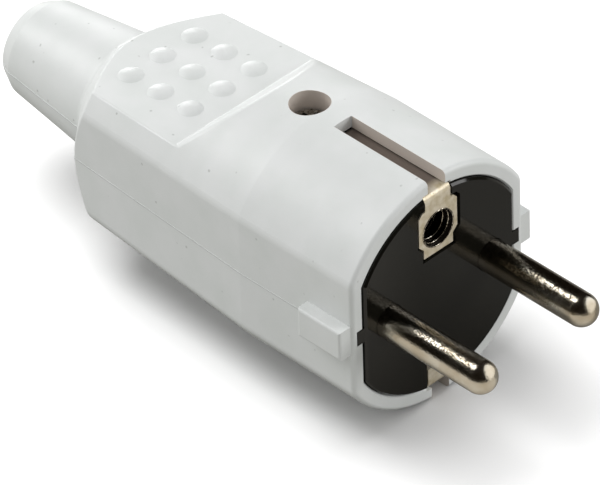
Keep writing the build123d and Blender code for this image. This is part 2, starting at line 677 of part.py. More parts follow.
def earth_socket_spring():
    """Open wire ring in the groove of the sleeve."""
    y = STRIP_FRONT_Y + STRIP_THICKNESS + SEAT_GAP + SPRING_OFFSET
    section = RegularPolygon(SPRING_WIRE_RADIUS, SPRING_SIDES)
    ring = revolve(Pos(EARTH_BORE_RADIUS + SPRING_WIRE_RADIUS, 0) * section, Axis.Y)
    gap = SPRING_WIRE_RADIUS
    ring -= block(-gap, gap, -gap * 2, gap * 2, 0, REACH)
    return Pos(0, y, EARTH_HOLE_HEIGHT) * ring


def earth_stack_y():
    """Faces of the earth terminal, from the strip outwards."""
    strip = CARRIER_LENGTH + FIT_GAP + STRIP_THICKNESS
    clamp = strip + EARTH_CLAMP_THICKNESS
    return strip, clamp, clamp + WASHER_THICKNESS


def earth_screw_tip():
    """Y of the inner end of the earth screw."""
    return CARRIER_LENGTH - EARTH_SCREW_GRIP


def earth_terminal_clamp():
    """Square plate that presses the earth wire on the strip."""
    y0, y1 = earth_stack_y()[:2]
    half = EARTH_CLAMP_HALF_SIZE
    plate = block(-half, half, y0, y1, EARTH_PAD_Z - half, EARTH_PAD_Z + half)
    return plate - rod_y(TERMINAL_SCREW_RADIUS + SCREW_GAP, y0 - OVERCUT, y1 + OVERCUT, z=EARTH_PAD_Z)


def earth_terminal_washer():
    """Round washer under the head of the earth screw."""
    y0, y1 = earth_stack_y()[1:]
    ring = rod_y(WASHER_RADIUS, y0, y1, z=EARTH_PAD_Z)
    return ring - rod_y(TERMINAL_SCREW_RADIUS + SCREW_GAP, y0 - OVERCUT, y1 + OVERCUT, z=EARTH_PAD_Z)


def earth_terminal_screw():
    """Slotted screw of the earth terminal."""
    seat = earth_stack_y()[2]
    length = seat - earth_screw_tip()
    screw = slotted_screw(TERMINAL_SCREW_RADIUS, TERMINAL_HEAD_RADIUS, TERMINAL_HEAD_HEIGHT, -length, 0)
    return Pos(0, seat, EARTH_PAD_Z) * Rot(-90, 0, 0) * screw


def cord_clamp_bar():
    """Arched bar that grips the cord against the tray."""
    y0 = CLAMP_Y + CLAMP_INSET
    y1 = CLAMP_Y + CLAMP_LENGTH - CLAMP_INSET
    ear_top = CLAMP_SPLIT_Z + CLAMP_EAR_THICKNESS
    half = CLAMP_HALF_WIDTH - CLAMP_INSET
    solid = block(-half, half, y0, y1, CLAMP_SPLIT_Z, ear_top)
    solid += rod_y(CLAMP_ARCH_RADIUS, y0, y1) & block(-REACH, REACH, y0, y1, CLAMP_SPLIT_Z, REACH)
    solid -= rod_y(CORD_RADIUS, y0 - OVERCUT, y1 + OVERCUT)
    for side in (-1, 1):
        solid -= rod_z(M3_HOLE_RADIUS, -REACH, REACH, side * CLAMP_SCREW_X, (y0 + y1) / 2)
    return solid


def cord_clamp_screw(side):
    """Screw through an ear of the clamp bar."""
    seat = CLAMP_SPLIT_Z + CLAMP_EAR_THICKNESS
    length = seat - TRAY_BOTTOM_Z
    return Pos(side * CLAMP_SCREW_X, CLAMP_Y + CLAMP_LENGTH / 2, 0) * cross_screw(length, seat)


def cord_clamp_nut(side):
    """Nut in its pocket under the tray."""
    return Pos(side * CLAMP_SCREW_X, CLAMP_Y + CLAMP_LENGTH / 2, 0) * nut(TRAY_BOTTOM_Z + CLAMP_NUT_SINK)


def all_pieces():
    """Every separate piece of the plug, by name."""
    return {
        "cover": cover(),
        "pin_carrier": pin_carrier(),
        "pin_retainer": pin_retainer(),
        "live_pin": pin(1),
        "neutral_pin": pin(-1),
        "live_terminal_screw": terminal_screw(1),
        "neutral_terminal_screw": terminal_screw(-1),
        "earth_strip": earth_strip(),
        "earth_socket_sleeve": earth_socket_sleeve(),
        "earth_socket_spring": earth_socket_spring(),
        "earth_terminal_clamp": earth_terminal_clamp(),
        "earth_terminal_washer": earth_terminal_washer(),
        "earth_terminal_screw": earth_terminal_screw(),
        "cord_clamp_bar": cord_clamp_bar(),
        "cord_clamp_screw_left": cord_clamp_screw(-1),
        "cord_clamp_screw_right": cord_clamp_screw(1),
        "cord_clamp_nut_left": cord_clamp_nut(-1),
        "cord_clamp_nut_right": cord_clamp_nut(1),
        "cover_screw": cover_screw(),
        "cover_screw_nut": cover_screw_nut(),
    }


if __name__ == "__main__":
    os.makedirs("parts", exist_ok=True)
    for name, piece in all_pieces().items():
        export_step(piece, f"parts/{name}.step")
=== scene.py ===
# %% [markdown]
# # A rewirable mains plug in white rubber
#
# The plug is a one-piece rubber moulding that slides over a black carrier. The carrier holds two
# plated pins and a folded earth strip. In this lesson the solid parts come in as a fixed frame, and
# we add what the eye needs: a camera, a pale floor, soft light, the mould's parting line, three
# rings in the earth hole, and a material for every surface, with its patterns at their real size.

import json
from math import cos, pi, radians, sin

import bmesh
import bpy
from mathutils import Matrix, Vector


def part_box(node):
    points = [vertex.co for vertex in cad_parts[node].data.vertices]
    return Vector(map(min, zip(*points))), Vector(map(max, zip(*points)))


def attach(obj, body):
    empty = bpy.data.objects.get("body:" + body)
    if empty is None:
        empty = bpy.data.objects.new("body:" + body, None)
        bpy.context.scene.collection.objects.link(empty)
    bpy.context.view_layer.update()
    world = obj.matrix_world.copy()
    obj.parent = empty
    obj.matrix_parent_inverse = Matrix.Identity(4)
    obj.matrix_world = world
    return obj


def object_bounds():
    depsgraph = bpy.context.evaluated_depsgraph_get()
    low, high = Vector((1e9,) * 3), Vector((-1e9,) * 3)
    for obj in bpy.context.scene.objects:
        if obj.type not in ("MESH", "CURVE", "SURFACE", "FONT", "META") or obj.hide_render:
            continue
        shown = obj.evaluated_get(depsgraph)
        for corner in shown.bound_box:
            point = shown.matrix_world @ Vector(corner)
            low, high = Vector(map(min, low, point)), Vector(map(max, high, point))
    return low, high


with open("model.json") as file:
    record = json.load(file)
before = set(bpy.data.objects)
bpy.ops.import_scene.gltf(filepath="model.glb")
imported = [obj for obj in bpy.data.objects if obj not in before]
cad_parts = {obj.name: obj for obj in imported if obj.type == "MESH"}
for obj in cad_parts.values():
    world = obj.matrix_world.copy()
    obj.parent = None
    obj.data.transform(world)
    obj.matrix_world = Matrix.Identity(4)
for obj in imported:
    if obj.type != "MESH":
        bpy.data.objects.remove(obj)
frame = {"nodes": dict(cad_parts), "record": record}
CAD_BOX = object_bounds()
MM = 0.001
print("nodes loaded:", len(frame["nodes"]))
print("CAD box in mm:", [[round(v / MM, 2) for v in corner] for corner in CAD_BOX])

# %% [markdown]
# ## The camera
#
# The photograph was taken from a distance with a long lens: the two pins look almost parallel. A
# camera can be placed by three vectors. `back` points from the subject to the camera, `right` and
# `up` span the picture. Turning the last two about `back` gives the small roll of the hand-held
# shot. Writing the vectors out is clearer here than three Euler angles, whose order matters. The
# angles are in degrees, and the lens and its sensor in millimetres.

# %% Place the camera
VIEW_AZIMUTH = -43.67
VIEW_ELEVATION = 38.77
VIEW_ROLL = -1.85
VIEW_DISTANCE = 1153.0 * MM
VIEW_TARGET = Vector((-11.12, 14.85, 5.93)) * MM
FOCAL_LENGTH = 525.7
SENSOR_WIDTH = 36.0


def camera_axes(azimuth, elevation, roll):
    """Right, up and back vectors of a camera that looks at its subject."""
    a, e, r = radians(azimuth), radians(elevation), radians(roll)
    back = Vector((sin(a) * cos(e), -cos(a) * cos(e), sin(e)))
    right = (-back).cross(Vector((0, 0, 1))).normalized()
    up = right.cross(-back)
    return cos(r) * right + sin(r) * up, cos(r) * up - sin(r) * right, back


right, up, back = camera_axes(VIEW_AZIMUTH, VIEW_ELEVATION, VIEW_ROLL)
lens = bpy.data.cameras.new("long_lens")
lens.lens = FOCAL_LENGTH
lens.sensor_width = SENSOR_WIDTH
camera = bpy.data.objects.new("camera", lens)
bpy.context.scene.collection.objects.link(camera)
turn = Matrix((right, up, back)).transposed().to_4x4()
camera.matrix_world = Matrix.Translation(VIEW_TARGET + back * VIEW_DISTANCE) @ turn
bpy.context.scene.camera = camera
print("camera in mm:", [round(v / MM, 1) for v in camera.matrix_world.translation])

# %% [markdown]
# ## Colour and node helpers
#
# Colours are picked as sRGB hex values, as on a paint chart, but shaders want linear light. One
# function turns them, with the numbers of the sRGB standard. Another adds a node: it sets each
# input, or links it where it is given the output of another node, so each material below reads like
# a recipe. Object coordinates are in metres, so a third turns a real size in millimetres into the
# scale of a pattern. A noise seldom strays far from one half, so a Map Range node stretches the
# middle of its range. Colours are laid over each other like coats of paint, and bumps are chained
# like layers of relief. A Mix node has sockets of the same names for numbers, vectors and colours,
# so its colour sockets are picked by their place in the list.

# %% Helpers for colours and nodes
MIX_FACTOR, MIX_UNDER, MIX_OVER, MIX_RESULT = 0, 6, 7, 2
SOFT_PATCHES = (0.35, 0.65)
WHOLE_WAVE = (0.3, 0.7)
FINISHES = {}


def linear(hex_colour):
    """Linear RGBA of an sRGB hex colour."""
    channels = [int(hex_colour[i:i + 2], 16) / 255 for i in (1, 3, 5)]
    light = [c / 12.92 if c <= 0.04045 else ((c + 0.055) / 1.055) ** 2.4 for c in channels]
    return (*light, 1.0)


def add(tree, kind, inputs=(), **settings):
    """Adds a node with its settings, and sets or links its inputs, given in order or by name."""
    node = tree.nodes.new(kind)
    for name, value in settings.items():
        setattr(node, name, value)
    named = inputs if isinstance(inputs, dict) else dict(enumerate(inputs))
    for name, value in named.items():
        if isinstance(value, bpy.types.NodeSocket):
            tree.links.new(value, node.inputs[name])
        else:
            node.inputs[name].default_value = value
    return node


def pattern(place, size_mm, **more):
    """Inputs of a texture whose features have a given size in millimetres."""
    return {"Vector": place, "Scale": 1 / (size_mm * MM), **more}


def new_material(name, **constants):
    """Material with its Principled shader, whose constant sockets are set directly."""
    material = bpy.data.materials.new(name)
    material.use_nodes = True
    shader = material.node_tree.nodes["Principled BSDF"]
    for socket, value in constants.items():
        shader.inputs[socket.replace("_", " ")].default_value = value
    return material, material.node_tree, shader


def coated(tree, colour, coats):
    """Colour under coats of other colours, each coat a factor with its colour."""
    for factor, coat in coats:
        inputs = {MIX_FACTOR: factor, MIX_UNDER: colour, MIX_OVER: coat}
        colour = add(tree, "ShaderNodeMix", inputs, data_type="RGBA").outputs[MIX_RESULT]
    return colour


def relief(tree, layers):
    """Normal of chained bump layers, each a height factor with its depth in millimetres."""
    normal = None
    for height, depth_mm in layers:
        inputs = {"Height": height, "Distance": depth_mm * MM, "Strength": 1.0}
        if normal:
            inputs["Normal"] = normal
        normal = add(tree, "ShaderNodeBump", inputs).outputs["Normal"]
    return normal


def wire(tree, shader, **patterns):
    """Links patterns to the sockets of a shader."""
    for socket, value in patterns.items():
        tree.links.new(value, shader.inputs[socket.replace("_", " ")])


def store(finish, material):
    """Files a material under the name of its finish and prints how many nodes it took."""
    FINISHES[finish] = material
    print(finish, "is", material.name, "with", len(material.node_tree.nodes), "nodes")


print("helpers ready; a 2 mm pattern has scale", pattern(None, 2.0)["Scale"])

# %% [markdown]
# ## White rubber
#
# The cover is a filled rubber, moulded in one shot against a lightly blasted steel mould. It is a
# satin, slightly cool white: light spreads softly over it, and only edges give a weak shine. What
# tells it from paint is a faint cloudiness of the filler, a few dark specks and a skin that is not
# quite flat. The specks are soft and ragged: a noise warps the pattern of cells that places them.
# The walls of the slots and of the screw hole are painted a warmer grey: painted shade, for the
# warm shadow inside these openings. They are found by their place: a compare node gives one within
# reach of a value.

# %% White rubber material
RUBBER_WHITE = linear("#DDDFDE")
RUBBER_CLOUD = linear("#D8DBD9")
RUBBER_ROUGHNESS = (0.38, 0.5)
FILLER_CLOUD_SIZE = 6.0
SPECK_GREY = linear("#8F918C")
SPECK_SPACING = 2.8
SPECK_SIZE = 0.5
SPECK_RAGGEDNESS = 0.35
SPECK_CORE = 0.3
SPECK_STRENGTH = 0.5
SKIN_WAVE_SIZE = 5.0
SKIN_WAVE_DEPTH = 0.02
MOULD_GRAIN_SIZE = 0.25
MOULD_GRAIN_DEPTH = 0.006
# Painted shade: the walls of the slots and the screw hole get this warmer grey for their shadow.
OPENING_SHADE_GREY = linear("#CBC2B9")
OPENING_MARGIN = 0.03 * MM
SLOT_HALF_WIDTH = 1.6 * MM
SLOT_MIDDLE_Y = 8.75 * MM
SLOT_HALF_LENGTH = 8.75 * MM
SCREW_HOLE_PLACE = (0, 23.75 * MM, 0)
SCREW_HOLE_RADIUS = 2.85 * MM
SQUARE_TO_Z = (1, 1, 0)


def in_cylinder(tree, place, square, axis_point, radius):
    """One inside an endless cylinder, else zero; square has ones for the directions across it."""
    flat = add(tree, "ShaderNodeVectorMath", (place, square), operation="MULTIPLY").outputs[0]
    apart = add(tree, "ShaderNodeVectorMath", (flat, axis_point), operation="DISTANCE")
    inputs = (apart.outputs["Value"], 0.0, radius)
    return add(tree, "ShaderNodeMath", inputs, operation="COMPARE").outputs[0]


def in_openings(tree, place):
    """One on the walls of the earth slots and of the screw hole, where shade is painted, else zero.
    """
    axes = add(tree, "ShaderNodeSeparateXYZ", {"Vector": place}).outputs
    inputs = (axes["X"], 0.0, SLOT_HALF_WIDTH + OPENING_MARGIN)
    across = add(tree, "ShaderNodeMath", inputs, operation="COMPARE").outputs[0]
    inputs = (axes["Y"], SLOT_MIDDLE_Y, SLOT_HALF_LENGTH)
    along = add(tree, "ShaderNodeMath", inputs, operation="COMPARE").outputs[0]
    slot = add(tree, "ShaderNodeMath", (across, along), operation="MULTIPLY").outputs[0]
    radius = SCREW_HOLE_RADIUS + OPENING_MARGIN
    hole = in_cylinder(tree, place, SQUARE_TO_Z, SCREW_HOLE_PLACE, radius)
    return add(tree, "ShaderNodeMath", (slot, hole), operation="MAXIMUM").outputs[0]


def ragged_specks(tree, place):
    """Strength of the specks: cells whose places a finer noise has warped."""
    ragged = add(tree, "ShaderNodeTexNoise", pattern(place, SPECK_SIZE)).outputs["Color"]
    inputs = (ragged, (SPECK_RAGGEDNESS * MM,) * 3, place)
    warped = add(tree, "ShaderNodeVectorMath", inputs, operation="MULTIPLY_ADD").outputs[0]
    cells = add(tree, "ShaderNodeTexVoronoi", pattern(warped, SPECK_SPACING)).outputs["Distance"]
    radius = SPECK_SIZE / 2 / SPECK_SPACING
    inputs = (cells, radius * SPECK_CORE, radius, SPECK_STRENGTH, 0.0)
    return add(tree, "ShaderNodeMapRange", inputs).outputs["Result"]


def white_rubber():
    """Satin moulded rubber with cloudy filler, sparse specks and painted shade in the openings."""
    material, tree, shader = new_material("white_moulded_rubber", IOR=1.5)
    place = add(tree, "ShaderNodeTexCoord").outputs["Object"]
    filler = pattern(place, FILLER_CLOUD_SIZE, Detail=3.0)
    clouds = add(tree, "ShaderNodeTexNoise", filler).outputs["Fac"]
    cloudy = add(tree, "ShaderNodeMapRange", (clouds, *SOFT_PATCHES)).outputs["Result"]
    coats = (
        (cloudy, RUBBER_CLOUD), (in_openings(tree, place), OPENING_SHADE_GREY),
        (ragged_specks(tree, place), SPECK_GREY))
    wave = add(tree, "ShaderNodeTexNoise", pattern(place, SKIN_WAVE_SIZE)).outputs["Fac"]
    sheen = add(tree, "ShaderNodeMapRange", (wave, *WHOLE_WAVE, *RUBBER_ROUGHNESS))
    grain = add(tree, "ShaderNodeTexNoise", pattern(place, MOULD_GRAIN_SIZE)).outputs["Fac"]
    skin = relief(tree, ((wave, SKIN_WAVE_DEPTH), (grain, MOULD_GRAIN_DEPTH)))
    colour = coated(tree, RUBBER_WHITE, coats)
    wire(tree, shader, Base_Color=colour, Roughness=sheen.outputs["Result"], Normal=skin)
    return material


store("white_rubber", white_rubber())

# %% [markdown]
# ## Black plastic
#
# The carrier is a thermoset moulding, polished by its mould, so its face is a dark mirror: the pins
# reflect in it. It is not a perfect one. Hot resin shrinks as it sets, and that leaves long, very
# shallow waves, which a bump of about ten microns over some millimetres gives. Fine wiping marks
# and a little dust break the shine.

# %% Black plastic material
PLASTIC_BLACK = linear("#14130F")
PLASTIC_DUSTY = linear("#1A1915")
PLASTIC_ROUGHNESS = (0.07, 0.16)
SHRINK_WAVE_SIZE = 7.0
SHRINK_WAVE_DEPTH = 0.012
WIPE_MARK_SIZE = 0.8
WIPED_PATCHES = (0.35, 0.7)
DUST_SIZE = 0.5
DUST_PATCHES = (0.5, 0.8)


def black_plastic():
    """Glossy black moulding with shallow shrink waves."""
    material, tree, shader = new_material("black_thermoset_plastic", IOR=1.38)
    place = add(tree, "ShaderNodeTexCoord").outputs["Object"]
    dust = add(tree, "ShaderNodeTexNoise", pattern(place, DUST_SIZE, Detail=4.0)).outputs["Fac"]
    dusty = add(tree, "ShaderNodeMapRange", (dust, *DUST_PATCHES)).outputs["Result"]
    marks = add(tree, "ShaderNodeTexNoise", pattern(place, WIPE_MARK_SIZE, Detail=4.0))
    inputs = (marks.outputs["Fac"], *WIPED_PATCHES, *PLASTIC_ROUGHNESS)
    wiped = add(tree, "ShaderNodeMapRange", inputs).outputs["Result"]
    waves = add(tree, "ShaderNodeTexNoise", pattern(place, SHRINK_WAVE_SIZE)).outputs["Fac"]
    face = relief(tree, ((waves, SHRINK_WAVE_DEPTH),))
    colour = coated(tree, PLASTIC_BLACK, ((dusty, PLASTIC_DUSTY),))
    wire(tree, shader, Base_Color=colour, Roughness=wiped, Normal=face)
    return material


store("black_plastic", black_plastic())

# %% [markdown]
# ## Nickel on turned brass
#
# The pins are turned from brass rod, polished and plated with bright nickel, which reflects a warm
# grey. A lathe leaves rings round the pin, far finer than the picture can show, so they are drawn
# at 0.12 mm and kept faint. Stretching a noise along the rings and squeezing it along the pin gives
# them; a mapping node does the stretch. Many matings with a socket have left a fine grain as well,
# and small dull scuffs on the top of each pin, which break the streak of light there into sparks.
# The scuffs begin behind the round tip.

# %% Nickel-plated pin material
NICKEL_BRIGHT = linear("#C6C1B5")
NICKEL_WARM = linear("#B3A996")
NICKEL_ROUGHNESS = (0.15, 0.23)
HANDLING_SIZE = 3.0
RING_PITCH = 0.12
RING_DEPTH = 0.002
RING_STRETCH = (0.02, 1.0, 0.02)
GRAIN_SIZE = 0.25
GRAIN_DEPTH = 0.03
NICKEL_SCUFFED = linear("#51493D")
SCUFF_SIZE = 0.24
SCUFF_PATCHES = (0.44, 0.56)
SCUFF_RISE_Z = (1.2 * MM, 1.6 * MM)
SCUFF_RISE_Y = (-16.4 * MM, -15.9 * MM)


def top_scuffs(tree, place):
    """Strength of the scuffs: patches of noise on the top of the straight part of a pin."""
    axes = add(tree, "ShaderNodeSeparateXYZ", {"Vector": place}).outputs
    top = add(tree, "ShaderNodeMapRange", (axes["Z"], *SCUFF_RISE_Z)).outputs["Result"]
    shaft = add(tree, "ShaderNodeMapRange", (axes["Y"], *SCUFF_RISE_Y)).outputs["Result"]
    scuffs = add(tree, "ShaderNodeTexNoise", pattern(place, SCUFF_SIZE, Detail=3.0)).outputs["Fac"]
    marks = add(tree, "ShaderNodeMapRange", (scuffs, *SCUFF_PATCHES)).outputs["Result"]
    on_shaft = add(tree, "ShaderNodeMath", (shaft, marks), operation="MULTIPLY").outputs[0]
    return add(tree, "ShaderNodeMath", (top, on_shaft), operation="MULTIPLY").outputs[0]


def nickel_pins():
    """Bright nickel plate with faint turning rings and scuffed tops."""
    material, tree, shader = new_material("bright_nickel_on_turned_brass", Metallic=1.0)
    place = add(tree, "ShaderNodeTexCoord").outputs["Object"]
    handling = add(tree, "ShaderNodeTexNoise", pattern(place, HANDLING_SIZE, Detail=3.0))
    worn = handling.outputs["Fac"]
    warm = add(tree, "ShaderNodeMapRange", (worn, *SOFT_PATCHES)).outputs["Result"]
    coats = ((warm, NICKEL_WARM), (top_scuffs(tree, place), NICKEL_SCUFFED))
    polish = add(tree, "ShaderNodeMapRange", (worn, *WHOLE_WAVE, *NICKEL_ROUGHNESS))
    inputs = {"Vector": place, "Scale": RING_STRETCH}
    squeezed = add(tree, "ShaderNodeMapping", inputs).outputs["Vector"]
    rings = add(tree, "ShaderNodeTexNoise", pattern(squeezed, RING_PITCH)).outputs["Fac"]
    grain = add(tree, "ShaderNodeTexNoise", pattern(place, GRAIN_SIZE, Detail=3.0)).outputs["Fac"]
    plate = relief(tree, ((grain, GRAIN_DEPTH), (rings, RING_DEPTH)))
    colour = coated(tree, NICKEL_BRIGHT, coats)
    wire(tree, shader, Base_Color=colour, Roughness=polish.outputs["Result"], Normal=plate)
    return material


store("nickel_plated_pins", nickel_pins())

# %% [markdown]
# ## Nickel on rolled strip
#
# The earth strip and the small clamp of its terminal are cut from rolled brass sheet. Rolling
# leaves fine streaks along the strip, and barrel plating leaves a satin, warmer nickel than on the
# pins, with small marks from pieces that tumbled against each other. The dull film on it scatters
# light, so it is only part mirror. Behind the face, in the slot of the cover, it is painted a
# browner grey as painted shade, and the wall of its hole is painted near black as painted shade.

# %% Nickel-plated strip material
STRIP_NICKEL = linear("#EBE1CD")
STRIP_DULL = linear("#CDBF9F")
STRIP_METALLIC = 0.45
STRIP_ROUGHNESS = (0.34, 0.46)
ROLL_STREAK_SIZE = 0.3
ROLL_STREAK_DEPTH = 0.004
ROLL_STRETCH = (1.0, 0.1, 0.1)
TUMBLE_MARK_SPACING = 1.1
TUMBLE_MARK_DEPTH = 0.03
TUMBLE_MARK_REACH = 0.25
TUMBLED_PATCHES = (0.35, 0.7)
# Painted shade: the strip turns browner behind the face, where it lies in the shadow of the slot.
SLOT_SHADE_BROWN = linear("#7B7068")
SLOT_SHADE_RISE_Y = (0.9 * MM, 2.4 * MM)
# Painted shade: the wall of the earth hole is painted near black for the shadow inside it.
HOLE_SHADE_DARK = linear("#2A241E")
HOLE_AXIS = (0, 0, 10.0 * MM)
HOLE_WALL_RADIUS = 2.78 * MM
SQUARE_TO_Y = (1, 0, 1)


def nickel_strip():
    """Satin nickel plate with rolling streaks, tumbling marks, and painted shade in the slot and
    the hole.
    """
    material, tree, shader = new_material("satin_nickel_on_rolled_brass", Metallic=STRIP_METALLIC)
    place = add(tree, "ShaderNodeTexCoord").outputs["Object"]
    inputs = {"Vector": place, "Scale": ROLL_STRETCH}
    squeezed = add(tree, "ShaderNodeMapping", inputs).outputs["Vector"]
    rolled = add(tree, "ShaderNodeTexNoise", pattern(squeezed, ROLL_STREAK_SIZE, Detail=3.0))
    streaks = rolled.outputs["Fac"]
    marks = add(tree, "ShaderNodeTexNoise", pattern(place, TUMBLE_MARK_SPACING, Detail=3.0))
    inputs = (marks.outputs["Fac"], *TUMBLED_PATCHES)
    tumbled = add(tree, "ShaderNodeMapRange", inputs).outputs["Result"]
    behind_face = add(tree, "ShaderNodeSeparateXYZ", {"Vector": place}).outputs["Y"]
    slot_shade = add(tree, "ShaderNodeMapRange", (behind_face, *SLOT_SHADE_RISE_Y)).outputs["Result"]
    hole = in_cylinder(tree, place, SQUARE_TO_Y, HOLE_AXIS, HOLE_WALL_RADIUS)
    satin = add(tree, "ShaderNodeMapRange", (streaks, *WHOLE_WAVE, *STRIP_ROUGHNESS))
    cells = add(tree, "ShaderNodeTexVoronoi", pattern(place, TUMBLE_MARK_SPACING))
    inputs = (cells.outputs["Distance"], 0.0, TUMBLE_MARK_REACH)
    dents = add(tree, "ShaderNodeMapRange", inputs).outputs["Result"]
    plate = relief(tree, ((streaks, ROLL_STREAK_DEPTH), (dents, TUMBLE_MARK_DEPTH)))
    coats = ((tumbled, STRIP_DULL), (slot_shade, SLOT_SHADE_BROWN), (hole, HOLE_SHADE_DARK))
    colour = coated(tree, STRIP_NICKEL, coats)
    wire(tree, shader, Base_Color=colour, Roughness=satin.outputs["Result"], Normal=plate)
    return material


store("nickel_plated_strip", nickel_strip())

# %% [markdown]
# ## Zinc on steel
#
# Screws, nuts and the washer are steel, cold headed and zinc plated in a barrel. Fresh zinc is a
# cool grey with small crystals that glint one by one. A Voronoi pattern whose cells each get their
# own brightness gives that glitter in the cross recess, where light comes from one side only.

# %% Zinc-plated steel material
ZINC_LIGHT = linear("#B9B7B0")
ZINC_DARK = linear("#77746C")
ZINC_ROUGHNESS = (0.2, 0.42)
CRYSTAL_SIZE = 0.35
CRYSTAL_DEPTH = 0.02


def zinc_steel():
    """Zinc plate with small glinting crystals."""
    material, tree, shader = new_material("zinc_plated_steel", Metallic=1.0)
    place = add(tree, "ShaderNodeTexCoord").outputs["Object"]
    cells = add(tree, "ShaderNodeTexVoronoi", pattern(place, CRYSTAL_SIZE)).outputs["Color"]
    glint = add(tree, "ShaderNodeSeparateColor", {"Color": cells}).outputs["Red"]
    satin = add(tree, "ShaderNodeMapRange", (glint, 0.0, 1.0, *ZINC_ROUGHNESS)).outputs["Result"]
    plate = relief(tree, ((glint, CRYSTAL_DEPTH),))
    colour = coated(tree, ZINC_DARK, ((glint, ZINC_LIGHT),))
    wire(tree, shader, Base_Color=colour, Roughness=satin, Normal=plate)
    return material


store("zinc_plated_steel", zinc_steel())

# %% [markdown]
# ## Dark sleeve metal, painted shade
#
# Deep in the earth hole the contact sleeve is given a brown-black metal, as painted shade for the
# depth of the hole. A dark, rough metal keeps the hole black, so that only the thin rings at its
# mouth shine.

# %% Sleeve material, painted shade
# Painted shade: these dark browns stand in for the shadow deep in the earth hole.
SLEEVE_SHADE_BROWN = linear("#3A3128")
SLEEVE_SHADE_BLACK = linear("#17130F")
SLEEVE_SHADE_PATCH_SIZE = 1.2


def sleeve_painted_shade():
    """Dark metal with brown patches, painted shade for the deep earth hole."""
    material, tree, shader = new_material("sleeve_painted_shade", Metallic=1.0, Roughness=0.5)
    place = add(tree, "ShaderNodeTexCoord").outputs["Object"]
    shade_patches = add(tree, "ShaderNodeTexNoise", pattern(place, SLEEVE_SHADE_PATCH_SIZE, Detail=3.0))
    inputs = (shade_patches.outputs["Fac"], *SOFT_PATCHES)
    brown = add(tree, "ShaderNodeMapRange", inputs).outputs["Result"]
    wire(tree, shader, Base_Color=coated(tree, SLEEVE_SHADE_BLACK, ((brown, SLEEVE_SHADE_BROWN),)))
    return material


store("sleeve_painted_shade", sleeve_painted_shade())

# %% [markdown]
# ## Dress the frame
#
# Each node of the frame names its finish in the record. The dictionary from finish to material does
# the whole job in one loop, so that no piece can be forgotten. Only the sleeve deep in the earth
# hole is darker than its record says, as painted shade, and it is dressed again.

# %% Give every node its material


def dress(obj, finish):
    """Gives an object one material in place of what it came with."""
    obj.data.materials.clear()
    obj.data.materials.append(FINISHES[finish])


for piece in frame["record"]["subparts"]:
    dress(frame["nodes"][piece["node"]], piece["material_slot"])
# The sleeve's dark metal is painted shade for the depth of the earth hole.
dress(frame["nodes"]["earth_socket_sleeve"], "sleeve_painted_shade")

# %% [markdown]
# ## The parting line
#
# The cover's mould opens along the middle of the plug, and where its halves meet a thin ridge stays
# on the rubber. It must follow the cover exactly, round every edge. So it is cut from a copy of the
# cover's own skin. Two bisecting planes leave a narrow band, and two more end it behind the guide
# ribs and just before the end of the tail. The inner faces, which look towards the middle, are
# thrown away, and the band is pushed outwards by the height of the ridge, which is lower on the
# flat sides than on the tail. A curve laid on the surface would need the cover's outline all over
# again.

# %% Cut the parting line from the cover's skin
RIDGE_HALF_WIDTH = 0.10 * MM
RIDGE_HEIGHT = 0.07 * MM
FLAT_RIDGE_HEIGHT = 0.025 * MM
TAIL_START_Y = 55.0 * MM
RIDGE_START_Y = 8.9 * MM
RIDGE_END_Y = 77.2 * MM
MERGE_DISTANCE = 0.001 * MM
INWARD_LIMIT = 0.0001 * MM


def new_piece(mesh_maker, name, finish):
    """Turns a finished bmesh into an object that rides on the plug's one body."""
    mesh = bpy.data.meshes.new(name)
    mesh_maker.to_mesh(mesh)
    mesh_maker.free()
    mesh.shade_smooth()
    piece = bpy.data.objects.new(name, mesh)
    bpy.context.scene.collection.objects.link(piece)
    dress(piece, finish)
    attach(piece, "root")
    print(name, "has", len(mesh.polygons), "faces")


def cut_away(shape, point, normal):
    """Cuts a bmesh by a plane and drops the side that the normal points to."""
    parts = shape.verts[:] + shape.edges[:] + shape.faces[:]
    bmesh.ops.bisect_plane(shape, geom=parts, plane_co=point, plane_no=normal, clear_outer=True)


def parting_line():
    """Narrow ridge round the cover on its middle plane, behind the guide ribs."""
    skin = bmesh.new()
    skin.from_mesh(frame["nodes"]["cover"].data)
    bmesh.ops.remove_doubles(skin, verts=skin.verts, dist=MERGE_DISTANCE)
    cut_away(skin, (0, 0, RIDGE_HALF_WIDTH), (0, 0, 1))
    cut_away(skin, (0, 0, -RIDGE_HALF_WIDTH), (0, 0, -1))
    cut_away(skin, (0, RIDGE_START_Y, 0), (0, -1, 0))
    cut_away(skin, (0, RIDGE_END_Y, 0), (0, 1, 0))
    skin.normal_update()
    inner = [f for f in skin.faces if f.normal.x * f.calc_center_median().x < INWARD_LIMIT]
    bmesh.ops.delete(skin, geom=inner, context="FACES")
    grown = bmesh.ops.extrude_face_region(skin, geom=skin.faces[:])
    raised = [g for g in grown["geom"] if isinstance(g, bmesh.types.BMVert)]
    skin.normal_update()
    for vertex in raised:
        height = RIDGE_HEIGHT if vertex.co.y > TAIL_START_Y else FLAT_RIDGE_HEIGHT
        vertex.co += vertex.normal * height
    bmesh.ops.recalc_face_normals(skin, faces=skin.faces)
    return skin


new_piece(parting_line(), "cover_parting_line", "white_rubber")

# %% [markdown]
# ## Rings in the earth hole
#
# The hole in the earth plate has a thin rolled lip that catches the light all the way round, and
# behind it two turns of bright wire shine in the dark. Each is a ring of small round section: a
# circle of vertices, spun once about the axis of the hole. The shape is the same three times, so
# one function spins them all from a list of their sizes.

# %% Spin the rings of the earth hole
PLATE_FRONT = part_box("earth_strip")[0].y
RING_SECTION_SIDES = 12
RING_STEPS = 72
HOLE_RINGS = (
    # name, radius of the ring, radius of its section and depth behind the plate's front, in mm
    ("earth_hole_lip", 2.82, 0.11, 0.02),
    ("earth_hole_front_wire", 2.60, 0.13, 0.70),
    ("earth_hole_rear_wire", 2.36, 0.12, 1.50),
)


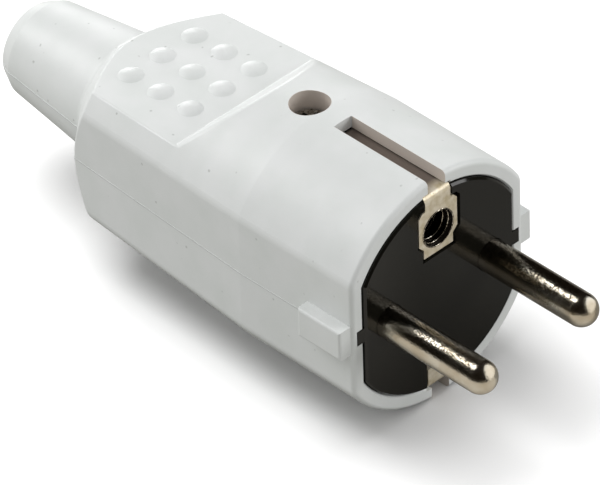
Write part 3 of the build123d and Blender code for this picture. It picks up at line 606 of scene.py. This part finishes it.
def hole_ring(radius, thickness, depth):
    """Ring of round section about the axis of the earth hole."""
    ring = bmesh.new()
    axis_point = Vector(HOLE_AXIS) + Vector((0, PLATE_FRONT + depth, 0))
    section = bmesh.ops.create_circle(ring, segments=RING_SECTION_SIDES, radius=thickness)
    bmesh.ops.translate(ring, verts=section["verts"], vec=axis_point + Vector((radius, 0, 0)))
    bmesh.ops.spin(
        ring, geom=ring.verts[:] + ring.edges[:], cent=axis_point,
        axis=(0, 1, 0), angle=2 * pi, steps=RING_STEPS, use_merge=True)
    bmesh.ops.recalc_face_normals(ring, faces=ring.faces)
    return ring


for name, radius, thickness, depth in HOLE_RINGS:
    new_piece(hole_ring(radius * MM, thickness * MM, depth * MM), name, "nickel_plated_pins")

# %% [markdown]
# ## The floor
#
# The plug lies on a white sweep. The picture shows it almost pure white, yet the underside of the
# plug and its mirror-like face are dark, so little light comes back from the ground. One material
# can do both: a light path node tells what kind of ray asks. The picture sees white paper, soft
# light bounces off a grey one, and reflections see paper that is lighter on the near left than on
# the far right. This changes the room, and none of the plug's own materials.

# %% Lay the floor
FLOOR_SIZE = 6.0
FLOOR_HEIGHT = CAD_BOX[0][2]
PAPER_WHITE = linear("#FFFFFF")
PAPER_BOUNCE = linear("#9C9C98")
PAPER_LIT = linear("#D2CDC4")
PAPER_UNLIT = linear("#8C8A85")
PAPER_ROUGHNESS = 0.9
LIT_EDGE = -24 * MM
UNLIT_EDGE = -4 * MM
LEFT_TO_RIGHT = (1, 1, 0)


def floor_colour(tree):
    """Colour of the paper for the picture, for soft light and for reflections."""
    place = add(tree, "ShaderNodeTexCoord").outputs["Object"]
    along = add(tree, "ShaderNodeVectorMath", (place, LEFT_TO_RIGHT), operation="DOT_PRODUCT")
    inputs = (along.outputs["Value"], LIT_EDGE, UNLIT_EDGE)
    unlit = add(tree, "ShaderNodeMapRange", inputs).outputs["Result"]
    mirrored = coated(tree, PAPER_LIT, ((unlit, PAPER_UNLIT),))
    ray = add(tree, "ShaderNodeLightPath").outputs
    coats = ((ray["Is Glossy Ray"], mirrored), (ray["Is Camera Ray"], PAPER_WHITE))
    return coated(tree, PAPER_BOUNCE, coats)


def pale_floor():
    """Plain white plane under the plug."""
    plane = bmesh.new()
    bmesh.ops.create_grid(plane, x_segments=1, y_segments=1, size=FLOOR_SIZE / 2)
    bmesh.ops.translate(plane, verts=plane.verts, vec=(0, 0, FLOOR_HEIGHT))
    mesh = bpy.data.meshes.new("floor")
    plane.to_mesh(mesh)
    plane.free()
    floor = bpy.data.objects.new("floor", mesh)
    bpy.context.scene.collection.objects.link(floor)
    material, tree, shader = new_material(
        "white_paper_sweep", Roughness=PAPER_ROUGHNESS, Specular_IOR_Level=0.0)
    wire(tree, shader, Base_Color=floor_colour(tree))
    mesh.materials.append(material)
    return floor


floor = pale_floor()
print("floor at", round(FLOOR_HEIGHT / MM, 2), "mm")

# %% [markdown]
# ## The lamps
#
# The pins are the best light meter: each of them shows the whole room squeezed round its girth. A
# streak up its middle means a small soft card high up behind. The broad bright patches on the round
# tips mean a large card on the near right. Between them the metal is nearly black, so the rest of
# the room is dark to a mirror, while an even sky fills the shadows of the rubber. A box overhead
# and one behind lift the top and the tail, and the overhead one is kept out of reflections. The
# thin white lines on the edges of the grip come from a light low behind on the right. The shadow on
# the paper hugs the plug, as under a high lamp. Light linking lets each lamp reach only the objects
# of one collection, so that two cards are for the pins alone and the paper has a lamp of its own.

# %% Light the studio
SKY_FILL = 0.56
SKY_WHITE = linear("#FFFFFF")
ROOM_DARK = linear("#1F1A14")
LAMPS = (
    # name, what it lights, direction from the plug, distance and size in metres, and the share of
    # white that it adds
    ("rear_softbox", "all but pins", (-0.41, 0.56, 0.72), 1.00, 0.42, 0.20),
    ("streak_card", "pins", (-0.17, 0.56, 0.81), 1.00, 0.38, 0.20),
    ("top_softbox", "plug", (0.35, 0.10, 0.93), 1.50, 1.00, 0.08),
    ("back_softbox", "plug", (-0.25, 0.85, 0.45), 0.80, 0.40, 0.36),
    ("edge_light", "all but pins", (0.54, 0.83, 0.13), 0.90, 0.35, 0.20),
    ("near_softbox", "all but pins", (0.69, -0.62, 0.40), 1.30, 0.80, 0.44),
    ("pin_card", "pins", (0.69, -0.62, 0.36), 1.30, 2.50, 1.50),
    ("paper_light", "floor", (-0.07, 0.30, 0.94), 1.20, 1.10, 1.02),
)
UNMIRRORED_LAMP = "top_softbox"


def studio_sky():
    """World that fills evenly but looks like a dark room in a mirror."""
    world = bpy.data.worlds.new("studio")
    bpy.context.scene.world = world
    world.use_nodes = True
    tree = world.node_tree
    tree.nodes.clear()
    fill = add(tree, "ShaderNodeBackground", {"Color": SKY_WHITE, "Strength": SKY_FILL})
    room = add(tree, "ShaderNodeBackground", {"Color": ROOM_DARK})
    ray = add(tree, "ShaderNodeLightPath")
    inputs = (ray.outputs["Is Glossy Ray"], fill.outputs[0], room.outputs[0])
    choice = add(tree, "ShaderNodeMixShader", inputs)
    add(tree, "ShaderNodeOutputWorld", {"Surface": choice.outputs[0]})


def soft_lamp(name, direction, distance, size, share):
    """Disk lamp aimed at the plug, as strong as the share of white it adds to paper facing it."""
    source = bpy.data.lights.new(name, "AREA")
    source.shape = "DISK"
    source.size = size
    source.energy = share * pi ** 2 * distance ** 2
    lamp = bpy.data.objects.new(name, source)
    bpy.context.scene.collection.objects.link(lamp)
    way = Vector(direction).normalized()
    lamp.location = way * distance
    lamp.rotation_euler = way.to_track_quat("Z", "Y").to_euler()
    return lamp


def reach_only(lamp, name, objects):
    """Lets a lamp light only some of the objects."""
    lit = bpy.data.collections.new(name)
    for obj in objects:
        lit.objects.link(obj)
    lamp.light_linking.receiver_collection = lit


studio_sky()
plug_pieces = [o for o in bpy.data.objects if o.type == "MESH" and o != floor]
pins = [frame["nodes"]["live_pin"], frame["nodes"]["neutral_pin"]]
lit_groups = {
    "plug": plug_pieces,
    "pins": pins,
    "all but pins": [o for o in plug_pieces if o not in pins],
    "floor": [floor],
}
for name, group, *placing in LAMPS:
    reach_only(soft_lamp(name, *placing), "lit_by_" + name, lit_groups[group])
bpy.data.objects[UNMIRRORED_LAMP].visible_glossy = False
bpy.context.scene.view_settings.view_transform = "Standard"
print("lamps:", [facts[0] for facts in LAMPS])
